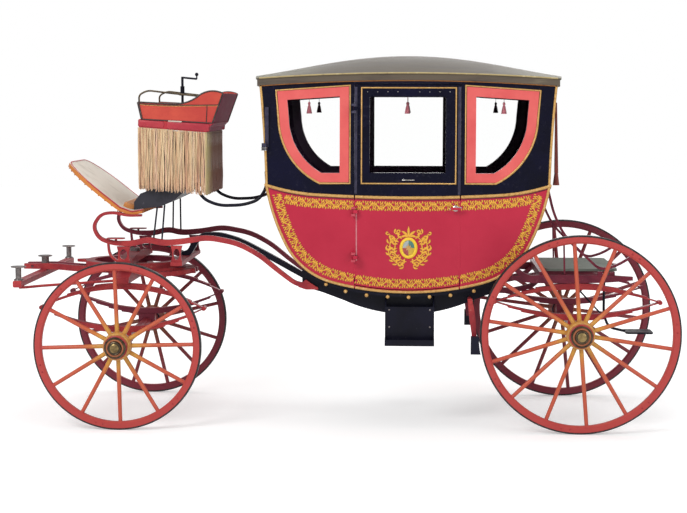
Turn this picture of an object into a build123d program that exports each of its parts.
from build123d import *
import os
from math import atan2, cos, pi, radians, sin, sqrt, tan

# State coach in millimetres. +X points to the rear, +Y to the coachman's right, +Z up.
# The origin is on the floor under the middle of the coach's box.

# Wheels and axles
REAR_WHEEL_R = 650
FRONT_WHEEL_R = 554
WHEELBASE = 3022
TRACK = 1450
FRONT_SPOKES = 12
REAR_SPOKES = 14
TYRE_T = 11
TYRE_W = 42
FELLOE_DEPTH = 44
FELLOE_W = 44
NAVE_R = 94
NAVE_END_R = 62
NAVE_INNER = 95
NAVE_OUTER = 82
CAP_R = 68
CAP_NECK_R = 40
CAP_T = 20
CAP_NECK = 12
SPOKE_DISH = 12
SPOKE_HALF_W = 14
SPOKE_ROOT_DEPTH = 19
SPOKE_TIP_DEPTH = 13
AXLE_ARM_R = 22
AXLE_FIT = 0.05
AXLE_COLLAR_R = 42
AXLE_BED_H = 56
AXLE_BED_W = 60
AXLE_END_GAP = 8

# Overall places
POLE_JAW_REACH = 764
BODY_SETBACK = 1896
SEAT_FIT = 0.3
BEND_SHARE = 0.44

# Springs: spread is half the distance between the two springs of a pair
FRONT_SPRING_SPREAD = 500
REAR_SPRING_SPREAD = 450
SPRING_W = 50
SPRING_HALF_SPAN = 545
LEAF_T = 8
LEAVES = 5
LEAF_STEP = 0.17
SPRING_EYE_R = 15
SPRING_SEAT_H = 34

# Fore carriage and turntable
RING_Z = 1040
RING_T = 20
RING_R = 340
RING_INNER_R = 278
BOLSTER_HALF = 548
BOLSTER_W = 96
BOLSTER_H = 74
FUTCHELL_Y = 58
FUTCHELL_W = 40
FUTCHELL_H = 42
FUTCHELL_TAIL = 430
POLE_PIN_R = 11
POLE_PIN_REACH = 705
SPLINTER_REACH = 632
SPLINTER_HALF = 835
SPLINTER_W = 56
SPLINTER_H = 44
ROLLER_SPREAD = SPLINTER_HALF - 45
ROLLER_R = 19
ROLLER_MIDDLE_R = 26
ROLLER_HEAD_R = 51
ROLLER_H = 92
ROLLER_HEAD_T = 8
KINGPIN_R = 21
KINGPIN_FIT = 0.05
TRANSOM_W = 92
TRANSOM_H = 58
TRANSOM_END_H = 24
TRANSOM_HALF = 478
HIND_TRANSOM_X = 356
HIND_TRANSOM_W = 78
HIND_TRANSOM_H = 30
BRACKET_T = 28
BRACKET_WAIST = 10
LEAF_REACH = 66
LEAF_HALF = 44

# Swan-neck irons
IRON_Y = 450
IRON_W = 34

# Body
BODY_BOTTOM = 896
BELT_Z = 1530
BELT_END_Z = 1612
BELT_HALF = 925
EAVE_HALF = 970
WALL_TOP_END = 2303
WALL_TOP_MID = 2339
WALL = 38
HALF_LOW = 540
HALF_MID = 604
HALF_BELT = 625
HALF_EAVE = 605
CORNICE_H = 45
CORNICE_OUT = 20
ROOF_CROWN = 2459
ROOF_T = 32
ROOF_LIP = 6
ROOF_OUT = 8
ROOF_BOW = 34

# Doors
DOOR_HALF = 342
DOOR_GAP = 6
DOOR_TOP = 2266
DOOR_SILL = 18
DOOR_BEVEL = 0.22
HINGE_OUT = 20
HINGE_PIN_R = 5
HINGE_R = 9
HINGE_HEIGHTS = (1140, 1440, 2110)
HINGE_ARM = 20
HINGE_LEAF_H = 22
HINGE_KNUCKLE_H = 14
HINGE_GAP = 5.2
HINGE_FIT = 0.05
DOOR_LIGHT_HALF = 247
DOOR_LIGHT_BOTTOM = 1693
DOOR_LIGHT_TOP = 2187

# Quarter windows
GOLD_BEAD = 15
SASH = 60
GLASS_T = 4

# Underbody
PLATE_T = 26
ROCKER_HALF = IRON_Y - IRON_W / 2
ROCKER_BOTTOM = 742
ROCKER_RIM = 70

# Coachman's seat
SEAT_HALF = 450
SEAT_PANEL = 22
SEAT_BASE_HALF = SEAT_HALF - 4
SEAT_BASE_ROUND = 12
FRINGE_T = 22
FRINGE_DROP = 422
BOOT_HALF = SEAT_HALF - 70
RAIL_R = 6
CRANK_Y = SEAT_HALF - 50
CRANK_R = 9
CRANK_REACH = 103
SEAT_IRON_R = 11
SEAT_IRON_Y = SEAT_BASE_HALF - FRINGE_T - SEAT_IRON_R - 2
STAY_R = 6

# Footboard
FOOT_HALF = SEAT_HALF
FOOT_T = 28
FOOT_CORNER = 250

# Rear frame, steps, brake and fittings
REAR_RAIL_BOTTOM = 958
REAR_CROSS_TOP = 1034
PLATFORM_T = 16
PLATFORM_HALF = 400
REAR_STAY_T = 16
REAR_STAY_W = 24
REAR_STRAP_Y = 452
REAR_STRAP_HALF = 20
STEP_HALF = 163
STEP_OUT = 612
STEP_Z = 552
BRAKE_DX = 415
BRAKE_Z = 854
BRAKE_LEVER_Y = 660
BRAKE_CLEARANCE = 8
LAMP_BORE_R = 12
LAMP_SOCKET_R = 18
LAMP_SOCKET_H = 46
LAMP_UNDER_EAVE = 4
LAMP_Z = 1838

LENGTH = POLE_JAW_REACH + WHEELBASE + REAR_WHEEL_R
FRONT_X = POLE_JAW_REACH - LENGTH / 2
REAR_X = FRONT_X + WHEELBASE
BODY_X = FRONT_X + BODY_SETBACK
HALF_TRACK = TRACK / 2

nodes = {}


def across(face, y_low, y_high):
    """Extrudes a side view drawn in (x, z) from y_low to y_high."""
    return Pos(0, y_high, 0) * extrude(Plane.XZ * face, y_high - y_low)


def along(face, x_low, x_high):
    """Extrudes an end view drawn in (y, z) from x_low to x_high."""
    return Pos(x_low, 0, 0) * extrude(Plane.YZ * face, x_high - x_low)


def upward(face, z_low, z_high):
    """Extrudes a plan drawn in (x, y) from z_low to z_high."""
    return Pos(0, 0, z_low) * extrude(face, z_high - z_low)


def block(x_low, x_high, y_low, y_high, z_low, z_high):
    """Box between its faces."""
    middle = Pos((x_low + x_high) / 2, (y_low + y_high) / 2, (z_low + z_high) / 2)
    return middle * Box(x_high - x_low, y_high - y_low, z_high - z_low)


def polygon(*points):
    """Face inside straight lines through the points."""
    return make_face(Polyline(*points, close=True))


def both_sides(solid):
    """A solid and its mirror image on the other side of the coach."""
    return Compound(children=[solid, mirror(solid, about=Plane.XZ)])


def joined(*solids):
    """Compound of solids that don't touch, for one node."""
    return Compound(children=[piece for solid in solids for piece in solid.solids()])


def smooth_line(points):
    """Path of straight runs joined by bends that are as large as their two runs allow."""
    if len(points) == 2:
        return Line(*points)
    radii = []
    for before, corner, after in zip(points, points[1:], points[2:]):
        run_in = Vector(*corner) - Vector(*before)
        run_out = Vector(*after) - Vector(*corner)
        half_turn = radians(run_in.get_angle(run_out)) / 2
        radii.append(BEND_SHARE * min(run_in.length, run_out.length) / tan(half_turn))
    return FilletPolyline(*points, radius=radii)


def rod(radius, *points):
    """Round iron rod along points in (x, y, z)."""
    path = smooth_line(points)
    return sweep((path ^ 0) * Circle(radius), path=path)


def forged_bar(rows, y_middle, width):
    """Flat iron whose thickness tapers: rows of (x, z, thickness) along its middle line."""
    upper, lower = [], []
    last = len(rows) - 1
    for i, (x, z, thick) in enumerate(rows):
        x0, z0, _ = rows[max(i - 1, 0)]
        x1, z1, _ = rows[min(i + 1, last)]
        heading_in = atan2(z - z0, x - x0) if i > 0 else atan2(z1 - z, x1 - x)
        heading_out = atan2(z1 - z, x1 - x) if i < last else heading_in
        turn = (heading_out - heading_in + pi) % (2 * pi) - pi
        heading = heading_in + turn / 2
        reach = thick / 2 / cos(turn / 2)
        upper.append((x - reach * sin(heading), z + reach * cos(heading)))
        lower.append((x + reach * sin(heading), z - reach * cos(heading)))
    sides = [smooth_line(upper), smooth_line(lower)]
    ends = [Line(upper[0], lower[0]), Line(upper[-1], lower[-1])]
    face = make_face([edge for part in sides + ends for edge in part.edges()])
    return across(face, y_middle - width / 2, y_middle + width / 2)


# Wheels, drawn with the axle along +Z and the outer face up


def wheel_wood(radius, spokes):
    """Nave, spokes and felloes of one wheel."""
    bore = AXLE_ARM_R + AXLE_FIT
    nave_side = Polyline(
        (bore, NAVE_OUTER), (bore, -NAVE_INNER), (NAVE_END_R, -NAVE_INNER)
    )
    belly_in = ThreePointArc(
        (NAVE_END_R, -NAVE_INNER), (0.86 * NAVE_R, -0.6 * NAVE_INNER), (NAVE_R, -28)
    )
    belly = Line((NAVE_R, -28), (NAVE_R, 20))
    belly_out = ThreePointArc(
        (NAVE_R, 20), (0.9 * NAVE_R, 0.6 * NAVE_OUTER), (CAP_R, NAVE_OUTER)
    )
    face_line = Line((CAP_R, NAVE_OUTER), (bore, NAVE_OUTER))
    nave_face = make_face([*nave_side.edges(), belly_in, belly, belly_out, face_line])
    nave = revolve(Plane.XZ * nave_face, axis=Axis.Z)

    outer = radius - TYRE_T
    inner = outer - FELLOE_DEPTH
    half = FELLOE_W / 2
    ease = FELLOE_W / 4
    felloe_face = polygon(
        (outer, -half),
        (outer, half),
        (inner + ease, half),
        (inner, half - ease),
        (inner, ease - half),
        (inner + ease, -half),
    )
    felloes = revolve(Plane.XZ * felloe_face, axis=Axis.Z)

    # Spoke sections: distance from the axle, half width, half depth, place along the axle
    root = NAVE_R - 14
    sections = (
        (root, SPOKE_HALF_W + 1, SPOKE_ROOT_DEPTH, -SPOKE_DISH),
        (root + 85, SPOKE_HALF_W, SPOKE_ROOT_DEPTH - 2, -SPOKE_DISH * 0.8),
        (inner + 10, SPOKE_HALF_W - 1, SPOKE_TIP_DEPTH, 0),
    )
    faces = [
        Location((r, 0, z), (0, 90, 0)) * Ellipse(half_depth, half_width)
        for r, half_width, half_depth, z in sections
    ]
    spoke = loft(faces, ruled=True)
    ring = [Rot(0, 0, 360 * i / spokes) * spoke for i in range(spokes)]
    return nave.fuse(felloes, *ring).solid()


def wheel_tyre(radius):
    """Iron tyre shrunk on the felloes."""
    half = TYRE_W / 2
    inner = radius - TYRE_T
    band = polygon(
        (inner, -half), (inner, half), (radius - 3, half), (radius, half - 4),
        (radius, 4 - half), (radius - 3, -half),
    )
    return revolve(Plane.XZ * band, axis=Axis.Z)


def wheel_cap():
    """Eight-sided brass cap with a round neck, closing the nave."""
    plate = Pos(0, 0, NAVE_OUTER) * extrude(RegularPolygon(CAP_R, 8), CAP_T)
    neck = Pos(0, 0, NAVE_OUTER + CAP_T) * extrude(Circle(CAP_NECK_R), CAP_NECK)
    return chamfer((plate + neck).faces().sort_by(Axis.Z)[-1].edges(), 4)


def make_wheels():
    """Four wheels, each of wood, tyre and cap, turned as they stand when parked."""
    # End, axle, radius, spokes, and how far the left and right wheels have rolled in degrees
    table = (
        ("front", FRONT_X, FRONT_WHEEL_R, FRONT_SPOKES, 1.7, 13),
        ("rear", REAR_X, REAR_WHEEL_R, REAR_SPOKES, -8.3, -7.1),
    )
    for end, x, radius, spokes, left_turn, right_turn in table:
        wood, tyre = wheel_wood(radius, spokes) + wheel_cap(), wheel_tyre(radius)
        for side, sign, turn in (("left", -1, left_turn), ("right", 1, right_turn)):
            place = Location((x, sign * HALF_TRACK, radius), (-90 * sign, 0, 0))
            nodes[f"wheel_{end}_{side}"] = place * Rot(0, 0, -sign * turn) * wood
            nodes[f"tyre_{end}_{side}"] = place * tyre


def axle(x, z):
    """Axle bed between the wheels, with collars and the turned arms in the naves."""
    collar = HALF_TRACK - NAVE_INNER - AXLE_END_GAP
    reach = HALF_TRACK + NAVE_OUTER - AXLE_END_GAP
    arms = Cylinder(AXLE_ARM_R, 2 * reach, rotation=(90, 0, 0))
    collars = [
        Pos(0, sign * (collar - 20), 0) * Cylinder(AXLE_COLLAR_R, 40, rotation=(90, 0, 0))
        for sign in (-1, 1)
    ]
    section = chamfer(Rectangle(AXLE_BED_W, AXLE_BED_H).vertices(), 10)
    bed = across(section, -(collar - 20), collar - 20)
    return Pos(x, 0, z) * bed.fuse(arms, *collars).solid()


# Elliptic springs


def half_spring(x, y, z_eye, z_middle):
    """Half of an elliptic spring: z_middle is the main leaf's middle, above or below its eyes."""
    up = 1 if z_middle > z_eye else -1
    rise = abs(z_middle - z_eye)
    radius = (SPRING_HALF_SPAN**2 + rise**2) / (2 * rise)
    centre_z = z_middle - up * radius
    full = atan2(SPRING_HALF_SPAN, radius - rise)
    pack = None
    for i in range(LEAVES):
        r_in = radius - LEAF_T / 2 + i * LEAF_T
        r_out = r_in + LEAF_T
        half = full * (1 - LEAF_STEP * i)
        corners = [
            (x + r * sin(a), centre_z + up * r * cos(a))
            for r, a in (
                (r_in, -half), (r_in, 0), (r_in, half), (r_out, half), (r_out, 0), (r_out, -half)
            )
        ]
        inner = ThreePointArc(*corners[:3])
        outer = ThreePointArc(*corners[3:])
        face = make_face([inner, outer, Line(inner @ 1, outer @ 0), Line(outer @ 1, inner @ 0)])
        leaf = across(face, y - SPRING_W / 2, y + SPRING_W / 2)
        pack = leaf if pack is None else pack + leaf
    return pack


def spring_pair(x, spread, z_low, z_high, name):
    """Left and right elliptic springs between the axle's seat and the bed above."""
    pack = LEAVES * LEAF_T
    z_low_leaf = z_low + pack - LEAF_T / 2
    z_high_leaf = z_high - pack + LEAF_T / 2
    z_eye = (z_low_leaf + z_high_leaf) / 2
    lower = half_spring(x, -spread, z_eye, z_low_leaf)
    for sign in (-1, 1):
        eye = Pos(x + sign * SPRING_HALF_SPAN, -spread, z_eye) * Cylinder(
            SPRING_EYE_R, SPRING_W + 16, rotation=(90, 0, 0)
        )
        lower += eye
    upper = half_spring(x, -spread, z_eye, z_high_leaf) - lower
    nodes[f"{name}_springs_lower"] = both_sides(lower)
    nodes[f"{name}_springs_upper"] = both_sides(upper)


def make_axles_and_springs():
    """Axles, the wooden blocks on them and the four elliptic springs."""
    table = (
        ("front", FRONT_X, FRONT_WHEEL_R, FRONT_SPRING_SPREAD, RING_Z - RING_T - BOLSTER_H),
        ("rear", REAR_X, REAR_WHEEL_R, REAR_SPRING_SPREAD, REAR_RAIL_BOTTOM),
    )
    for end, x, radius, spread, z_high in table:
        seat_low = radius + AXLE_BED_H / 2
        seat = block(
            x - 60, x + 60, -spread - SPRING_W / 2 - 6, -spread + SPRING_W / 2 + 6,
            radius, seat_low + SPRING_SEAT_H,
        )
        nodes[f"{end}_axle"] = axle(x, radius) + seat + mirror(seat, about=Plane.XZ)
        spring_pair(x, spread, seat_low + SPRING_SEAT_H, z_high, end)


# Fore carriage


def make_fore_carriage():
    """Bed with futchells, lower turntable ring, splinter bar, roller bolts and stays."""
    bed_top = RING_Z - RING_T
    bed_low = bed_top - BOLSTER_H
    bolster_face = polygon(
        (-BOLSTER_HALF, bed_low),
        (BOLSTER_HALF, bed_low),
        (BOLSTER_HALF, bed_low + 0.5 * BOLSTER_H),
        (RING_R + 40, bed_top),
        (-RING_R - 40, bed_top),
        (-BOLSTER_HALF, bed_low + 0.5 * BOLSTER_H),
    )
    bed = along(bolster_face, FRONT_X - BOLSTER_W / 2, FRONT_X + BOLSTER_W / 2)
    jaw_z = bed_low + 67
    futchell_rows = (
        (FRONT_X - POLE_JAW_REACH, jaw_z, FUTCHELL_H - 6),
        (FRONT_X - SPLINTER_REACH + 90, jaw_z, FUTCHELL_H),
        (FRONT_X - RING_R - 60, jaw_z - 14, FUTCHELL_H),
        (FRONT_X - 60, bed_low + 40, FUTCHELL_H),
        (FRONT_X + FUTCHELL_TAIL, bed_low + 42, FUTCHELL_H - 8),
    )
    for sign in (-1, 1):
        bed += forged_bar(futchell_rows, sign * FUTCHELL_Y, FUTCHELL_W)
    sway_outer = RING_R + 76
    sway_inner = RING_R + 16
    sway_plan = Circle(sway_outer) - Circle(sway_inner)
    sway_plan &= Pos(sway_outer / 2 + 180, 0) * Rectangle(sway_outer, 2 * sway_outer)
    sway = Pos(FRONT_X, 0, 0) * upward(sway_plan, bed_low + 26, bed_low + 58)
    bed += sway
    pin_hole = Pos(FRONT_X - POLE_PIN_REACH, 0, jaw_z) * Cylinder(
        POLE_PIN_R, 4 * FUTCHELL_Y, rotation=(90, 0, 0)
    )
    king_hole = Pos(FRONT_X, 0, bed_top) * Cylinder(KINGPIN_R + KINGPIN_FIT, 4 * BOLSTER_H)
    nodes["fore_bed"] = (bed - pin_hole - king_hole).solid()

    ring = Circle(RING_R) - Circle(RING_INNER_R)
    nodes["turntable_lower"] = Pos(FRONT_X, 0, 0) * upward(ring, bed_top, RING_Z)

    bar_top = jaw_z - FUTCHELL_H / 2
    bar_x = FRONT_X - SPLINTER_REACH
    bar_face = fillet(Rectangle(SPLINTER_W, SPLINTER_H).vertices(), 9)
    bar = Pos(bar_x, 0, bar_top - SPLINTER_H / 2) * across(bar_face, -SPLINTER_HALF, SPLINTER_HALF)

    bolts = []
    for y, radius in ((-ROLLER_SPREAD, ROLLER_R), (0, ROLLER_MIDDLE_R), (ROLLER_SPREAD, ROLLER_R)):
        post = Polyline(
            (0, 0), (radius + 12, 0), (radius + 10, 6), (radius, 12),
            (radius, ROLLER_H - 12), (ROLLER_HEAD_R - 4, ROLLER_H - ROLLER_HEAD_T),
            (ROLLER_HEAD_R, ROLLER_H - ROLLER_HEAD_T / 2), (ROLLER_HEAD_R - 4, ROLLER_H), (0, ROLLER_H),
            close=True,
        )
        bolts.append(Pos(bar_x, y, bar_top) * revolve(Plane.XZ * make_face(post), axis=Axis.Z))
    nodes["roller_bolts"] = joined(*bolts)

    stay_z = bar_top - SPLINTER_H - 9
    stay = rod(
        9,
        (bar_x, -SPLINTER_HALF + 70, stay_z + 2),
        (bar_x + 40, -SPLINTER_HALF + 110, stay_z),
        (bar_x + 110, -BOLSTER_HALF - 90, stay_z),
        (FRONT_X - BOLSTER_W / 2 + 10, -BOLSTER_HALF + 30, bed_low + 18),
    )
    nodes["splinter_bar"] = bar + stay + mirror(stay, about=Plane.XZ) - nodes["fore_bed"]


def transom_bracket(width, low, high):
    """Waisted bracket with an oval hole, drawn in (x, z), that lifts an iron off a transom."""
    middle = (low + high) / 2
    sides = [
        ThreePointArc(
            (sign * width / 2, low), (sign * (width / 2 - BRACKET_WAIST), middle), (sign * width / 2, high)
        )
        for sign in (-1, 1)
    ]
    ends = [Line(sides[0] @ share, sides[1] @ share) for share in (0, 1)]
    hole = Pos(0, middle) * Ellipse(0.27 * width, 0.32 * (high - low))
    return make_face([*sides, *ends]) - hole


def make_transom():
    """Upper ring, kingpin and the transoms that carry the swan-neck irons."""
    plate_low = RING_Z + SEAT_FIT
    plate_top = plate_low + RING_T
    ring = Circle(RING_R) - Circle(RING_INNER_R)
    leaf_sides = [
        ThreePointArc(
            (-RING_R + 10, sign * LEAF_HALF),
            (-RING_R - 0.4 * LEAF_REACH, sign * 0.7 * LEAF_HALF),
            (-RING_R - LEAF_REACH, 0),
        )
        for sign in (-1, 1)
    ]
    leaf = make_face([*leaf_sides, Line(leaf_sides[0] @ 0, leaf_sides[1] @ 0)])
    upper = Pos(FRONT_X, 0, 0) * upward(ring + leaf, plate_low, plate_top)

    # Place, width, height in the middle and height of the seat under the irons
    for x, width, height, seat_z in (
        (FRONT_X, TRANSOM_W, TRANSOM_H, IRON_FRONT_SEAT_Z),
        (FRONT_X + HIND_TRANSOM_X, HIND_TRANSOM_W, HIND_TRANSOM_H, IRON_HIND_SEAT_Z),
    ):
        low = plate_top + TRANSOM_END_H
        face = make_face(
            [
                Line((-TRANSOM_HALF, plate_top), (TRANSOM_HALF, plate_top)),
                Line((TRANSOM_HALF, plate_top), (TRANSOM_HALF, low)),
                ThreePointArc((TRANSOM_HALF, low), (0, plate_top + height), (-TRANSOM_HALF, low)),
                Line((-TRANSOM_HALF, low), (-TRANSOM_HALF, plate_top)),
            ]
        )
        upper += along(face, x - width / 2, x + width / 2)
        bracket = transom_bracket(width, low - 4, seat_z)
        for sign in (-1, 1):
            middle = sign * IRON_Y
            piece = across(bracket, middle - BRACKET_T / 2, middle + BRACKET_T / 2)
            upper += Pos(x, 0, 0) * piece
    upper -= Pos(FRONT_X, 0, plate_top) * Cylinder(KINGPIN_R + KINGPIN_FIT, 4 * TRANSOM_H)
    nodes["turntable_upper"] = upper.solid()

    pin_low = RING_Z - RING_T - BOLSTER_H - 14
    head_z = plate_top + TRANSOM_H
    pin = Pos(FRONT_X, 0, pin_low) * extrude(Circle(KINGPIN_R), head_z - pin_low)
    head = Pos(FRONT_X, 0, head_z) * extrude(RegularPolygon(KINGPIN_R + 14, 6), 20)
    nodes["kingpin"] = pin + head


# Swan-neck irons: rows of (x from the front axle, z, thickness)
SWAN_NECK = (
    (125, 1396, 15),
    (30, 1393, 16),
    (-60, 1415, 20),
    (-150, 1404, 21),
    (-205, 1323, 21),
    (-166, 1240, 23),
    (-73, 1209, 30),
    (60, 1206, 38),
    (163, 1236, 37),
    (267, 1211, 40),
    (412, 1224, 38),
    (560, 1252, 36),
    (764, 1214, 34),
    (911, 1136, 32),
    (1038, 1030, 30),
    (1150, 947, 28),
    (1225, 932, 34),
    (1300, 915, 14),
)
# Leaf-shaped claw that ends each iron on the body, in (x from the front axle, z)
CLAW = ((1165, 925), (1222, 972), (1318, 906), (1222, 906))
IRON_FRONT_SEAT_Z = 1206 - 19
IRON_HIND_SEAT_Z = 1213 - 19

CRANE_IRON = (
    (HIND_TRANSOM_X - 30, 1096, 34),
    (HIND_TRANSOM_X + 24, 1108, 38),
    (HIND_TRANSOM_X + 74, 1196, 40),
    (480, 1226, 42),
    (594, 1231, 44),
    (740, 1190, 42),
    (919, 1098, 40),
    (1123, 984, 38),
    (1215, 930, 30),
)


def make_irons():
    """Two swan-neck irons and the middle crane iron between transom and rocker."""
    neck = forged_bar([(FRONT_X + x, z, t) for x, z, t in SWAN_NECK], -IRON_Y, IRON_W)
    claw = fillet(polygon(*from_front(CLAW)).vertices(), 6)
    neck += across(claw, -IRON_Y - IRON_W / 2, -IRON_Y + IRON_W / 2)
    seats = across(
        Pos(FRONT_X, IRON_FRONT_SEAT_Z) * Rectangle(TRANSOM_W, 60, align=(Align.CENTER, Align.MAX))
        + Pos(FRONT_X + HIND_TRANSOM_X, IRON_HIND_SEAT_Z)
        * Rectangle(HIND_TRANSOM_W, 60, align=(Align.CENTER, Align.MAX)),
        -IRON_Y - IRON_W,
        -IRON_Y + IRON_W,
    )
    tread_z = IRON_FRONT_SEAT_Z + 51
    tread_x = FRONT_X - 52
    neck += Pos(tread_x, -IRON_Y, tread_z - 20) * Cylinder(8, 40)
    tread = fillet(Rectangle(120, 92).vertices(), 30)
    neck += Pos(tread_x, -IRON_Y, 0) * upward(tread, tread_z, tread_z + 6)
    brace = ((FRONT_X - 104, 1212, 14), (FRONT_X - 96, 1130, 16), (FRONT_X - 30, 1076, 16))
    neck += forged_bar(brace, -IRON_Y, IRON_W - 8)
    neck = (neck - seats - nodes["turntable_upper"]).solids().sort_by(SortBy.VOLUME)[-1]
    nodes["swan_neck_left"] = neck
    nodes["swan_neck_right"] = mirror(neck, about=Plane.XZ)
    crane = forged_bar([(FRONT_X + x, z, t) for x, z, t in CRANE_IRON], 0, 48)
    crane = crane - nodes["underbody"] - nodes["body_bottom"] - nodes["turntable_upper"]
    nodes["crane_iron"] = crane.solids().sort_by(SortBy.VOLUME)[-1]


# Body


ROOF_ARC_R = (EAVE_HALF**2 + (WALL_TOP_MID - WALL_TOP_END) ** 2) / (2 * (WALL_TOP_MID - WALL_TOP_END))


def roof_height(dx):
    """Height of the arched top of the walls at a distance from the body's middle."""
    return WALL_TOP_MID - (ROOF_ARC_R - sqrt(ROOF_ARC_R**2 - dx**2))


def roof_line(half=EAVE_HALF, drop=0.0):
    """Arched top of the walls in (x, z), from the rear end to the front end."""
    end = roof_height(half) - drop
    return ThreePointArc((BODY_X + half, end), (BODY_X, WALL_TOP_MID - drop), (BODY_X - half, end))


def body_side():
    """Side outline of the body, drawn in (x, z): boat-shaped below the belt."""
    low = TangentArc((0, BODY_BOTTOM), (490, 960), tangent=(1, 0))
    bilge = TangentArc(low @ 1, (800, 1215), tangent=low % 1)
    rise = TangentArc(bilge @ 1, (BELT_HALF, BELT_END_Z - 17), tangent=bilge % 1)
    pillar = ThreePointArc(rise @ 1, (938, 1920), (EAVE_HALF, WALL_TOP_END))
    half = [Pos(BODY_X, 0) * edge for edge in (low, bilge, rise, pillar)]
    other = [mirror(edge, about=Plane.YZ.offset(BODY_X)) for edge in half]
    return make_face([e for part in half + other + [roof_line()] for e in part.edges()])


def body_section(inset=0.0):
    """End view of the body in (y, z), running past its top and bottom."""
    low, high = 600, 2500
    below = Line((HALF_LOW - inset, low), (HALF_LOW - inset, 880))
    tuck = ThreePointArc(below @ 1, (HALF_MID - inset, 1225), (HALF_BELT - inset, 1560))
    lean = ThreePointArc(tuck @ 1, (HALF_BELT - 5 - inset, 1900), (HALF_EAVE - inset, 2270))
    above = Line(lean @ 1, (HALF_EAVE - inset, high))
    half = [below, tuck, lean, above]
    other = [mirror(edge, about=Plane.YZ) for edge in half]
    lids = [Line((-HALF_LOW + inset, low), (HALF_LOW - inset, low)), Line(above @ 1, other[3] @ 1)]
    return make_face([e for part in half + other + lids for e in part.edges()])


def quarter_window(inset):
    """Outline of the rear quarter window in (x, z), set in from the gold bead's outer edge."""
    x, end = BODY_X, 1615
    curve = ThreePointArc((x + 580, end), (x + 759, 1768), (x + 850, 2040))
    edges = [
        Line((x + 368, 2268), (x + 368, end)),
        Line((x + 368, end), (x + 580, end)),
        curve,
        Line(curve @ 1, (x + 867, 2235)),
        Line((x + 867, 2235), (x + 368, 2268)),
    ]
    face = make_face(edges)
    return offset(face, -inset, kind=Kind.INTERSECTION) if inset else face


def belt_zone():
    """Region below the belt line, drawn in (x, z)."""
    belt = ThreePointArc((-600, BELT_Z + 18), (0, BELT_Z), (600, BELT_Z + 18))
    tail = TangentArc((600, BELT_Z + 18), (1100, BELT_END_Z + 70), tangent=belt % 1)
    head = mirror(tail, about=Plane.YZ)
    frame = Polyline(tail @ 1, (1100, 500), (-1100, 500), head @ 1)
    return Pos(BODY_X, 0) * make_face([*belt.edges(), *tail.edges(), *head.edges(), *frame.edges()])


def gap_plan(x_face, x_sign, y_face, z):
    """Plan of one upright door gap at a height: a slot that slants by the door's bevel."""
    out, into = 60, WALL + 60
    slope = DOOR_BEVEL * x_sign
    points = []
    for y, dx in ((out, 0), (-into, 0), (-into, DOOR_GAP), (out, DOOR_GAP)):
        points.append((x_face + dx + slope * y, -(y_face + y), z))
    return make_face(Polyline(*points, close=True))


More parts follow.
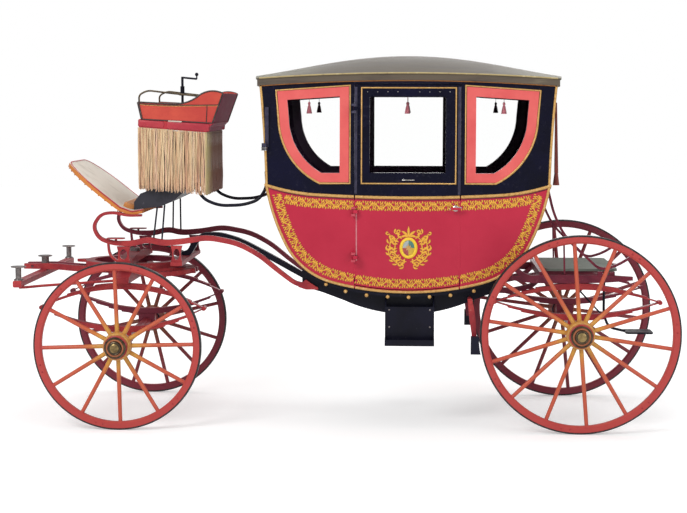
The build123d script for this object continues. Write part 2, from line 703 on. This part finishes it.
def make_body():
    """Body shell cut where the real panels meet, with doors, windows and roof."""
    side = body_side()
    outer = across(side, -800, 800) & along(body_section(), BODY_X - 1100, BODY_X + 1100)
    hollow_section = along(body_section(WALL), BODY_X - 1100, BODY_X + 1100)
    inner_side = offset(side, -WALL, kind=Kind.INTERSECTION)
    inner_side += Pos(BODY_X, 2300) * Rectangle(2 * (EAVE_HALF - WALL - 6), 200)
    inner = across(inner_side, -800, 800)
    low_zone = across(belt_zone(), -800, 800)
    flanks = outer - hollow_section
    ring = (outer & hollow_section) - inner

    bottom = ring & low_zone
    nodes["body_bottom"] = bottom.solids().sort_by(SortBy.VOLUME)[-1]
    upper_ring = ring - low_zone
    ends = upper_ring.solids().sort_by(Axis.X)
    light = block(BODY_X - 1100, BODY_X, -430, -40, 1700, 2160)
    light += mirror(light, about=Plane.XZ)
    nodes["front_wall"] = (ends[0] - light).solid()
    nodes["rear_wall"] = ends[-1]
    front_panes = (ends[0] & light & across(offset(side, -WALL / 2 + GLASS_T / 2), -700, 700))
    front_panes = front_panes - across(offset(side, -WALL / 2 - GLASS_T / 2), -700, 700)

    left = flanks & block(BODY_X - 1100, BODY_X + 1100, -800, 0, 600, 2500)
    gaps = []
    for x_face, bevel in ((BODY_X - DOOR_HALF - DOOR_GAP, 0), (BODY_X + DOOR_HALF, 1)):
        plans = [
            gap_plan(x_face, bevel, y_face, z)
            for z, y_face in ((850, HALF_LOW), (1225, HALF_MID), (1560, HALF_BELT), (2400, HALF_EAVE))
        ]
        gaps.append(loft(plans, ruled=True))
    doorway_side = offset(side, -DOOR_SILL, kind=Kind.INTERSECTION)
    door_side = offset(side, -DOOR_SILL - DOOR_GAP, kind=Kind.INTERSECTION)
    door_band = block(BODY_X - 700, BODY_X + 700, -800, 0, 600, DOOR_TOP)
    top_band = block(BODY_X - 700, BODY_X + 700, -800, 0, 600, DOOR_TOP + DOOR_GAP)
    cut = (left - gaps[0] - gaps[1]).solids().sort_by(Axis.X)
    front_quarter, door_blank, rear_quarter = cut[0], cut[1], cut[-1]
    middle = left & block(
        BODY_X - DOOR_HALF - DOOR_GAP - 30, BODY_X + DOOR_HALF + DOOR_GAP + 30, -800, 0, 600, 2500
    )
    middle = middle - front_quarter - rear_quarter
    door = door_blank & across(door_side, -800, 0) & door_band
    door = door.solids().sort_by(SortBy.VOLUME)[-1]
    sill = middle - across(doorway_side, -800, 0)
    sill = sill & block(BODY_X - 700, BODY_X + 700, -800, 0, 600, 1200)
    cant = middle - block(BODY_X - 700, BODY_X + 700, -800, 0, 600, DOOR_TOP + DOOR_GAP)
    frame_left = [piece.solids().sort_by(SortBy.VOLUME)[-1] for piece in (sill, cant)]
    nodes["door_sills_and_rails"] = joined(*[both_sides(piece) for piece in frame_left])

    mid_pane = along(body_section(WALL / 2 - GLASS_T / 2), BODY_X - 1100, BODY_X + 1100)
    mid_pane -= along(body_section(WALL / 2 + GLASS_T / 2), BODY_X - 1100, BODY_X + 1100)

    window = across(quarter_window(GOLD_BEAD), -800, 0)
    opening = across(quarter_window(GOLD_BEAD + SASH), -800, 0)
    flip = Plane.YZ.offset(BODY_X)
    lowers, uppers, sashes, panes = [], [], [], []
    for end, quarter in (("front", front_quarter), ("rear", rear_quarter)):
        hole = window if end == "rear" else mirror(window, about=flip)
        light = opening if end == "rear" else mirror(opening, about=flip)
        lower = (quarter & low_zone).solids().sort_by(SortBy.VOLUME)[-1]
        upper = (quarter - low_zone).solids().sort_by(SortBy.VOLUME)[-1]
        lowers.append(both_sides(lower))
        uppers.append(both_sides((upper - hole).solid()))
        sashes.append((upper & hole) - light)
        panes.append(upper & light & mid_pane)
    nodes["quarter_sashes"] = joined(*[both_sides(s.solid()) for s in sashes])
    nodes["body_glass"] = joined(front_panes, *[both_sides(p.solid()) for p in panes])
    nodes["lower_quarters"] = joined(*lowers)
    nodes["upper_quarters"] = joined(*uppers)

    door_light = block(
        BODY_X - DOOR_LIGHT_HALF, BODY_X + DOOR_LIGHT_HALF, -800, 0,
        DOOR_LIGHT_BOTTOM, DOOR_LIGHT_TOP,
    )
    door_upper = door - low_zone
    parts = {
        "lower": (door & low_zone).solid(),
        "upper": (door_upper - door_light).solids().sort_by(SortBy.VOLUME)[-1],
        "glass": (door_upper & door_light & mid_pane).solid(),
    }
    fixed = None
    hinge_x = BODY_X - DOOR_HALF - DOOR_GAP / 2
    hinge_y = -(HALF_BELT + HINGE_OUT)
    half_leaf = HINGE_LEAF_H / 2
    for z in HINGE_HEIGHTS:
        moving = Pos(hinge_x, hinge_y, z) * Cylinder(HINGE_R, HINGE_LEAF_H)
        moving += block(
            hinge_x, hinge_x + HINGE_ARM, hinge_y - HINGE_R, hinge_y + 90, z - half_leaf, z + half_leaf
        )
        moving -= Pos(hinge_x, hinge_y, z) * Cylinder(HINGE_PIN_R + HINGE_FIT, 60)
        moving -= across(side, -800, 0) & hollow_section
        key = "lower" if z < BELT_Z else "upper"
        reach = moving - outer
        parts[key] = (parts[key] + reach.solids().sort_by(SortBy.VOLUME)[-1]).solid()
        free = half_leaf + HINGE_GAP
        pin = Pos(hinge_x, hinge_y, z) * Cylinder(HINGE_PIN_R, 2 * (free + HINGE_KNUCKLE_H))
        for low in (z - free - HINGE_KNUCKLE_H, z + free):
            high = low + HINGE_KNUCKLE_H
            pin += Pos(hinge_x, hinge_y, (low + high) / 2) * Cylinder(HINGE_R, HINGE_KNUCKLE_H)
            pin += block(hinge_x - HINGE_ARM, hinge_x, hinge_y - HINGE_R, hinge_y + 90, low, high)
        pin = (pin - outer).solids().sort_by(SortBy.VOLUME)[-1]
        fixed = pin if fixed is None else joined(fixed, pin)
    nodes["door_hinges"] = joined(fixed, mirror(fixed, about=Plane.XZ))
    handle_x = BODY_X + DOOR_HALF - 28
    grip = Pos(handle_x, -HALF_BELT - 14, 1462) * Cylinder(8, 60, rotation=(90, 0, 0))
    grip += Pos(handle_x, -HALF_BELT - 38, 1462) * fillet(Box(70, 12, 18).edges(), 5)
    grip = (grip - outer).solids().sort_by(SortBy.VOLUME)[-1]
    parts["lower"] = (parts["lower"] + grip).solid()
    for side_name, flipped in (("left", False), ("right", True)):
        for key, shape in parts.items():
            nodes[f"door_{side_name}_{key}"] = mirror(shape, about=Plane.XZ) if flipped else shape
    return outer, side


def make_roof(outer):
    """Cornice round the top of the walls and the crowned roof on it."""
    top, low = roof_line(EAVE_HALF + 60), roof_line(EAVE_HALF + 60, CORNICE_H)
    band = make_face([top, low, Line(top @ 0, low @ 0), Line(top @ 1, low @ 1)])
    half_y = HALF_EAVE + CORNICE_OUT
    half_x = EAVE_HALF + CORNICE_OUT / 2
    plan = make_face(
        [
            Line((BODY_X - half_x, -half_y), (BODY_X + half_x, -half_y)),
            Line((BODY_X - half_x, half_y), (BODY_X + half_x, half_y)),
            *[
                ThreePointArc(
                    (BODY_X + sign * half_x, -half_y),
                    (BODY_X + sign * (half_x + ROOF_BOW), 0),
                    (BODY_X + sign * half_x, half_y),
                )
                for sign in (-1, 1)
            ],
        ]
    )
    cornice = across(band, -900, 900) & upward(plan, 2000, 2600)
    ring = cornice - outer
    nodes["cornice"] = ring.solids().sort_by(SortBy.VOLUME)[-1]

    def crown(inset, drop):
        sections = []
        for dx, z_mid in ((-1050, 2318), (-520, 2413), (0, ROOF_CROWN), (520, 2413), (1050, 2318)):
            edge = roof_height(dx) + ROOF_LIP - drop
            y = half_y + ROOF_OUT - inset
            outline = [
                Line((-y, 2100), (y, 2100)),
                Line((y, 2100), (y, edge)),
                ThreePointArc((y, edge), (0, z_mid + ROOF_LIP - drop), (-y, edge)),
                Line((-y, edge), (-y, 2100)),
            ]
            sections.append(Plane.YZ.offset(BODY_X + dx) * make_face(outline))
        return loft(sections)

    grown = offset(plan, ROOF_OUT, kind=Kind.INTERSECTION)
    seat_line = roof_line(EAVE_HALF + 60)
    rear, front = seat_line @ 0, seat_line @ 1
    down = Vector(0, 400)
    floor_line = Polyline(rear, rear - down, front - down, front)
    under = make_face([seat_line, *floor_line.edges()])
    skin = crown(0, 0) & upward(grown, 2000, 2600)
    room = crown(CORNICE_OUT + WALL, ROOF_T)
    room &= block(BODY_X - EAVE_HALF + WALL, BODY_X + EAVE_HALF - WALL, -900, 900, 2000, 2600)
    roof = skin - across(under, -900, 900) - room
    nodes["roof"] = roof.solids().sort_by(SortBy.VOLUME)[-1]


def make_underbody(outer, side):
    """Edge plate along the body's bottom and the rocker under it, in one black piece."""
    shell = offset(side, PLATE_T)
    plate = across(shell, -HALF_LOW + 4, HALF_LOW - 4) - across(side, -900, 900)
    plate &= block(BODY_X - 640, BODY_X + 640, -900, 900, 700, 1150)
    plate = plate.solids().sort_by(SortBy.VOLUME)[-1]
    keel = ThreePointArc((-420, 832), (0, ROCKER_BOTTOM), (420, 832))
    rear_end = Polyline(keel @ 1, (560, 884), (660, 940), (660, 1100), (-700, 1100))
    front_end = Polyline((-700, 1100), (-700, 925), (-560, 884), keel @ 0)
    outline = Pos(BODY_X, 0) * make_face([keel, *rear_end.edges(), *front_end.edges()])
    rocker = across(outline, -ROCKER_HALF, ROCKER_HALF) - across(side, -900, 900)
    rim = ROCKER_HALF - ROCKER_RIM
    rocker -= block(BODY_X - 430, BODY_X + 430, -rim, rim, 600, 1000)
    nodes["underbody"] = (plate + rocker).solids().sort_by(SortBy.VOLUME)[-1]


# Side views of the seat, as (x from the front axle, z)
SEAT_FOOT = (130, 2036)
SEAT_HEEL = (600, 2010)
SEAT_BASE = ((104, 2037.8), (104, 1984), (560, 1950), (580, 1985), (606, 2010))
FRINGE_LINE = ((104, 1984), (560, 1950))
SEAT_SILL = ((343, 2137), (105, 2149))
SEAT_CREST = ((343, 2137), (432, 2149), (500, 2184), (578, 2221), (672, 2208))
BOOT = (
    (60, 1424), (125, 1437), (236, 1450), (337, 1497), (391, 1545), (500, 1680),
    (536, 1952), (165, 1979), (148, 1600), (142, 1552), (104, 1538), (60, 1480),
)
FOOTBOARD = ((-399, 1729), (-30, 1438), (50, 1410), (124, 1423))
RAIL = ((112, 2143), (110, 2196), (168, 2226), (373, 2202), (520, 2188))
SEAT_IRON = (
    (470, 1950), (472, 1640), (520, 1510), (640, 1460),
    (800, 1466), (905, 1500), (960, 1590), (954, 1690),
)


def from_front(rows):
    """Side-view points given from the front axle, as places in the frame."""
    return [(FRONT_X + x, *rest) for x, *rest in rows]


def make_seat():
    """Coachman's seat on its boot, with cushion, rails, irons, fringe and footboard."""
    base_side = fillet(polygon(*from_front(SEAT_BASE)).vertices().group_by(Axis.X)[0], SEAT_BASE_ROUND)
    base = across(base_side, -SEAT_BASE_HALF, SEAT_BASE_HALF)
    foot, heel = from_front((SEAT_FOOT, SEAT_HEEL))
    sill = Line(*from_front(SEAT_SILL))
    crest = from_front(SEAT_CREST)
    arms = [ThreePointArc(*crest[:3]), ThreePointArc(*crest[2:])]
    rim = crest[-1]
    panel = make_face([*arms, Line(rim, heel), Line(heel, foot), Line(foot, sill @ 1), sill])
    inside = SEAT_HALF - SEAT_PANEL
    panels = across(panel, -SEAT_HALF, SEAT_HALF) - across(panel, -inside, inside)
    back = polygon(
        heel, rim, (rim[0] - SEAT_PANEL, rim[1] + 2), (heel[0] - SEAT_PANEL, heel[1] - 3)
    )
    (line_x0, line_z0), (line_x1, line_z1) = from_front(FRINGE_LINE)
    lip_low, lip_high = line_z0 - 24, line_z1 - 24
    lip_side = polygon(
        (line_x0 + FRINGE_T, line_z0 + 20), (line_x0 + FRINGE_T, lip_low),
        (line_x1 - FRINGE_T, lip_high), (line_x1 - FRINGE_T, line_z1 + 20),
    )
    lip_half = SEAT_BASE_HALF - FRINGE_T
    lip = across(lip_side, -lip_half, lip_half)
    seat = base.fuse(lip, *panels.solids(), across(back, -SEAT_HALF, SEAT_HALF))
    nodes["seat_box"] = seat.solid()
    cushion = polygon(
        (foot[0] + 8, foot[1] + SEAT_FIT),
        (heel[0] - 34, heel[1] + 2.2 + SEAT_FIT),
        (heel[0] - 10, heel[1] + 66),
        (heel[0] - 40, heel[1] + 86),
        (foot[0] + 30, foot[1] + 74),
        (foot[0] + 2, foot[1] + 50),
    )
    cushion_half = inside - 2

    hang = ((line_x0, line_z0), (line_x1, line_z1))
    sides = []
    for inset, lift in ((0, -SEAT_FIT), (FRINGE_T - SEAT_FIT, 40)):
        (x0, z0), (x1, z1) = hang
        x0, x1 = x0 + inset, x1 - inset
        drop = FRINGE_DROP + lift
        sides.append(polygon((x0, z0 + lift), (x0, z0 - drop), (x1, z1 - drop), (x1, z1 + lift)))
    skirt = across(sides[0], -SEAT_BASE_HALF, SEAT_BASE_HALF)
    nodes["seat_fringe"] = skirt - across(sides[1], -lip_half - SEAT_FIT, lip_half + SEAT_FIT)

    boot = across(polygon(*from_front(BOOT)), -BOOT_HALF, BOOT_HALF) - nodes["seat_box"]
    nodes["seat_boot"] = boot.solid()

    board = forged_bar([(x, z, FOOT_T) for x, z in from_front(FOOTBOARD)], 0, 2 * FOOT_HALF)
    tip, tail = FRONT_X + FOOTBOARD[0][0] - 10, FRONT_X + 200
    plan = Pos((tip + tail) / 2, 0) * Rectangle(tail - tip, 2 * FOOT_HALF)
    plan = fillet(plan.vertices().group_by(Axis.X)[0], FOOT_CORNER)
    board = (board & upward(plan, 1300, 1900)) - boot
    board = board - nodes["swan_neck_left"] - nodes["swan_neck_right"]
    nodes["footboard"] = board.solids().sort_by(SortBy.VOLUME)[-1]

    rail = rod(RAIL_R, *[(x, -SEAT_HALF + SEAT_PANEL / 2, z) for x, z in from_front(RAIL)])
    rail = (rail - nodes["seat_box"]).solids().sort_by(SortBy.VOLUME)[-1]
    nodes["seat_rails"] = both_sides(rail)

    # Crank post: radius, low end and high end of each turned length
    crank_x = FRONT_X + 283
    post = ((CRANK_R, foot[1] - 12, 2330), (22, 2196, 2216), (15, 2216, 2262))
    crank = rod(7, (crank_x, CRANK_Y, 2324), (crank_x + CRANK_REACH, CRANK_Y, 2314))
    for radius, z_low, z_high in post:
        crank += Pos(crank_x, CRANK_Y, 0) * upward(Circle(radius), z_low, z_high)
    crank += Pos(crank_x + CRANK_REACH, CRANK_Y, 0) * upward(Circle(5), 2312, 2340)
    crank += Pos(crank_x + CRANK_REACH, CRANK_Y, 2346) * Sphere(13)
    nodes["brake_crank"] = crank - nodes["seat_box"]
    crank_hole = Pos(crank_x, CRANK_Y, foot[1]) * Cylinder(CRANK_R + 3, 400)
    nodes["seat_cushion"] = across(cushion, -cushion_half, cushion_half) - crank_hole

    iron = rod(SEAT_IRON_R, *[(x, -SEAT_IRON_Y, z) for x, z in from_front(SEAT_IRON)])
    iron = (iron - nodes["seat_box"] - nodes["front_wall"]).solids().sort_by(SortBy.VOLUME)[-1]
    stays = []
    for x_top, z_top, x_low in ((216, 1436, 200), (266, 1450, 257)):
        stay = rod(
            STAY_R, (FRONT_X + x_top, -BOOT_HALF + 8, z_top + 12), (FRONT_X + x_low, -IRON_Y, 1225)
        )
        stay = stay - boot - nodes["swan_neck_left"]
        stays.append(stay.solids().sort_by(SortBy.VOLUME)[-1])
    nodes["seat_irons"] = joined(*[both_sides(piece) for piece in (iron, *stays)])


# Rear gear, from the rear axle
REAR_RAIL = ((-440, 992, 26), (-300, 985, 54), (0, 986, 56), (200, 990, 50), (365, 992, 24))
REAR_HORN = ((-300, 985, 40), (-372, 1016, 36), (-424, 1072, 34), (-440, 1160, 34))
REAR_IRON = ((-556, 905, 40), (-430, 900, 34), (-290, 935, 30), (-232, 996, 26))
REAR_STAY = ((-200, 1580), (-160, 1417), (-91, 1279), (12, 1176), (150, 1046), (262, 1080), (345, 1130))
REAR_STEP = ((229, 990), (229, 700), (262, 606), (378, 580))


def from_rear(rows):
    """Side-view points given from the rear axle, as places in the frame."""
    return [(REAR_X + x, *rest) for x, *rest in rows]


def make_rear(outer):
    """Rear frame on its springs, footman's platform, stays, step and straps."""
    rail = forged_bar(from_rear(REAR_RAIL), -REAR_SPRING_SPREAD, IRON_W)
    rail += forged_bar(from_rear(REAR_HORN), -REAR_SPRING_SPREAD, IRON_W)
    lug_top = REAR_STAY[4][1] - REAR_STAY_T / 2 + 1
    lug_y = -REAR_SPRING_SPREAD
    rail += block(REAR_X + 134, REAR_X + 166, lug_y - 12, lug_y + 12, 990, lug_top)
    iron = forged_bar(from_rear(REAR_IRON), -ROCKER_HALF + 45, 32)
    frame = rail.fuse(mirror(rail, about=Plane.XZ), iron, mirror(iron, about=Plane.XZ))
    low = REAR_CROSS_TOP - 49
    reach = REAR_SPRING_SPREAD
    for x in (REAR_X - 250, REAR_X + 212):
        frame += block(x, x + 36, -reach, reach, low, REAR_CROSS_TOP)
    frame += block(REAR_X - 240, REAR_X + 230, -20, 20, low, REAR_CROSS_TOP)

    stay_rows = [(x, z, REAR_STAY_T) for x, z in from_rear(REAR_STAY)]
    stay = forged_bar(stay_rows, -REAR_SPRING_SPREAD, REAR_STAY_W) - outer
    stay = stay.solids().sort_by(SortBy.VOLUME)[-1]
    platform_top = REAR_CROSS_TOP + PLATFORM_T
    board = Pos(REAR_X + 30, 0) * fillet(Rectangle(480, 2 * PLATFORM_HALF).vertices(), 30)
    nodes["rear_platform"] = upward(board, REAR_CROSS_TOP, platform_top)
    prop_y = -REAR_SPRING_SPREAD + 8
    stay += rod(STAY_R, (REAR_X - 91, prop_y, 1279), (REAR_X - 83, prop_y, REAR_CROSS_TOP - 26))
    frame = (frame - outer - nodes["underbody"]).solids().sort_by(SortBy.VOLUME)[-1]
    stay = stay - frame
    nodes["rear_frame"] = frame
    nodes["rear_stays"] = both_sides(stay.solids().sort_by(SortBy.VOLUME)[-1])

    step = rod(9, *[(x, 0, z) for x, z in from_rear(REAR_STEP)])
    step += rod(STAY_R, (REAR_X - 60, 0, low + 4), (REAR_X + 232, 0, 676))
    tread = Pos(REAR_X + 468, 0) * fillet(Rectangle(186, 180).vertices(), 24)
    step += upward(tread, 571, 583)
    nodes["rear_step"] = (step - frame).solids().sort_by(SortBy.VOLUME)[-1]

    strap = Pos(BODY_X, 0) * polygon(
        (950, 2150), (976, 2150), (990, 1690), (966, 1690), (966, 2080), (950, 2090)
    )
    straps = across(strap, -REAR_STRAP_Y - REAR_STRAP_HALF, -REAR_STRAP_Y + REAR_STRAP_HALF) - outer
    tassel = Cone(22, 11, 90, align=(Align.CENTER, Align.CENTER, Align.MIN))
    tassel = Pos(BODY_X + 978, -REAR_STRAP_Y, 1608) * tassel
    straps = straps.solids().sort_by(SortBy.VOLUME)[-1] + (tassel - outer)
    nodes["footman_straps"] = both_sides(straps)


def make_steps_and_brake():
    """Iron steps under the doors and the rear wheels' brake."""
    arm = polygon(
        (-ROCKER_HALF, 866), (-472, 858), (-514, 800), (-522, 604), (-STEP_OUT, 592), (-STEP_OUT, STEP_Z),
        (-488, STEP_Z), (-488, 786), (-ROCKER_HALF, 800),
    )
    middle = BODY_X + 18
    step = along(arm, middle - STEP_HALF, middle - STEP_HALF + 9)
    step += along(arm, middle + STEP_HALF - 9, middle + STEP_HALF)
    step += block(middle - STEP_HALF, middle + STEP_HALF, -514, -505, STEP_Z, 800)
    step += block(middle - STEP_HALF, middle + STEP_HALF, -STEP_OUT, -488, STEP_Z, STEP_Z + 10)
    step += block(middle - STEP_HALF, middle + STEP_HALF, -STEP_OUT, -STEP_OUT + 8, STEP_Z, STEP_Z + 40)
    nodes["side_steps"] = both_sides(step.solid())

    x = BODY_X + BRAKE_DX
    stub = Pos(x, (-ROCKER_HALF - BRAKE_LEVER_Y - 16) / 2, BRAKE_Z) * Cylinder(
        13, BRAKE_LEVER_Y + 16 - ROCKER_HALF, rotation=(90, 0, 0)
    )
    lever = forged_bar(
        ((x - 4, BRAKE_Z + 20, 30), (x + 12, 760, 42), (x + 30, 596, 28)), -BRAKE_LEVER_Y, 16
    )
    pin = Pos(x + 26, -(BRAKE_LEVER_Y + HALF_TRACK) / 2, 606) * Cylinder(
        10, HALF_TRACK - BRAKE_LEVER_Y, rotation=(90, 0, 0)
    )
    shoe = block(x + 2, x + 80, -HALF_TRACK - 22, -HALF_TRACK + 22, 520, 636)
    shoe -= Pos(REAR_X, 0, REAR_WHEEL_R) * Cylinder(
        REAR_WHEEL_R + BRAKE_CLEARANCE, 2 * TRACK, rotation=(90, 0, 0)
    )
    nodes["brake_gear"] = both_sides(stub.fuse(lever, pin, shoe).solid())


def make_fittings(outer):
    """Lamp sockets, cabin benches and cushions."""
    x, y = BODY_X - 932, -(HALF_EAVE + CORNICE_OUT + ROOF_OUT + LAMP_BORE_R + LAMP_UNDER_EAVE)
    socket = Pos(x, y, 0) * upward(Circle(LAMP_SOCKET_R), LAMP_Z, LAMP_Z + LAMP_SOCKET_H)
    iron = block(x + 2, x + 26, -HALF_BELT - 8, -HALF_EAVE + 10, LAMP_Z + 20, 2118)
    foot = block(x - 8, x + 16, y, -HALF_EAVE, LAMP_Z + 10, LAMP_Z + LAMP_SOCKET_H - 10)
    fitting = (socket + iron + foot) - outer
    fitting -= Pos(x, y, 0) * upward(Circle(LAMP_BORE_R), LAMP_Z - 1, LAMP_Z + LAMP_SOCKET_H + 1)
    nodes["lamp_sockets"] = both_sides(fitting.solids().sort_by(SortBy.VOLUME)[-1])

    room = across(offset(body_side(), -WALL - SEAT_FIT), -800, 800)
    room &= along(body_section(WALL + SEAT_FIT), BODY_X - 1100, BODY_X + 1100)
    bench = polygon((-480, 1345), (-480, 800), (-502, 800), (-502, 1323), (-1000, 1323), (-1000, 1345))
    cushion = polygon((-470, 1346), (-464, 1400), (-486, 1440), (-1000, 1446), (-1000, 1346))
    back = polygon((-795, 1447), (-1000, 1447), (-1000, 1680), (-838, 1680), (-800, 1600))
    benches, pads = [], []
    for profile, store in ((bench, benches), (cushion, pads), (back, pads)):
        piece = across(Pos(BODY_X, 0) * profile, -620, 620) & room
        piece = piece.solids().sort_by(SortBy.VOLUME)[-1]
        store += [piece, mirror(piece, about=Plane.YZ.offset(BODY_X))]
    nodes["cabin_benches"] = joined(*benches)
    nodes["cabin_cushions"] = joined(*pads)


def make_all():
    """Builds every node."""
    make_wheels()
    make_axles_and_springs()
    make_fore_carriage()
    outer, side = make_body()
    make_roof(outer)
    make_underbody(outer, side)
    make_transom()
    make_irons()
    make_seat()
    make_rear(outer)
    make_steps_and_brake()
    make_fittings(outer)


make_all()
os.makedirs("parts", exist_ok=True)
for name, shape in nodes.items():
    export_step(shape, f"parts/{name}.step")
print(len(nodes), "nodes written")
